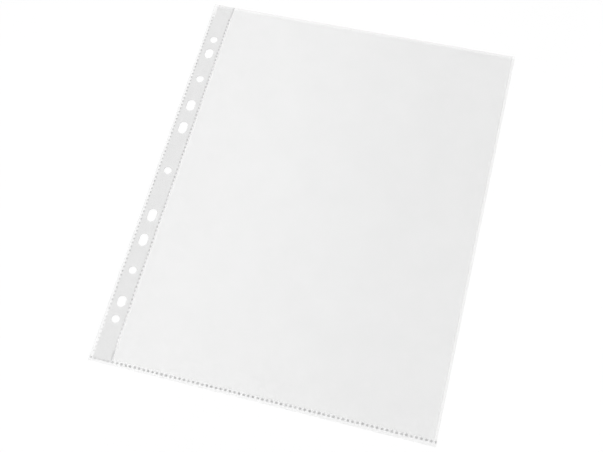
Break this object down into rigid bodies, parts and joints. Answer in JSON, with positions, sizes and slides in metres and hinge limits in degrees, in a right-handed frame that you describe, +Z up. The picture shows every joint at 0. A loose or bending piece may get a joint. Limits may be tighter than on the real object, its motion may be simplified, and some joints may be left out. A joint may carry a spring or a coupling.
{
  "type": "sheet protector",
  "caption": "Flat clear film pocket for paper, open at the top, folded on one side, with dotted welds and a punched reinforcing strip for ring binders.",
  "frame": {"origin": "middle of the underside, where the pocket lies on a table", "axes": "+X from the punched strip to the folded side, +Y from the welded foot to the open mouth, +Z up through the films"},
  "size_m": [0.24, 0.306, 0.0008],
  "materials": {
    "film": "clear polypropylene film with a fine embossed grain",
    "strip": "translucent grey-white tape",
    "weld": "melted film, clear and pressed thin"
  },
  "bodies": {
    "binding_edge": {"back_film_margin": "film", "front_film_margin": "film", "reinforcing_strip": "strip", "outer_weld_seam": "weld", "inner_weld_seam": "weld", "margin_foot_weld": "weld"},
    "pocket": {"back_panel": "film", "side_crease": "film", "front_side_band": "film", "front_foot_band": "film", "foot_weld_seam": "weld"},
    "front_leaf": {"front_panel": "film"}
  },
  "joints": [
    {"name": "strip_flex", "type": "hinge", "parent": "binding_edge", "child": "pocket", "pos_m": [-0.1036, 0, 0.00028], "axis": [0, -1, 0], "range_deg": [0, 90]},
    {"name": "mouth_open", "type": "hinge", "parent": "pocket", "child": "front_leaf", "pos_m": [0, -0.14875, 0.0002], "axis": [1, 0, 0], "range_deg": [0, 4]}
  ]
}
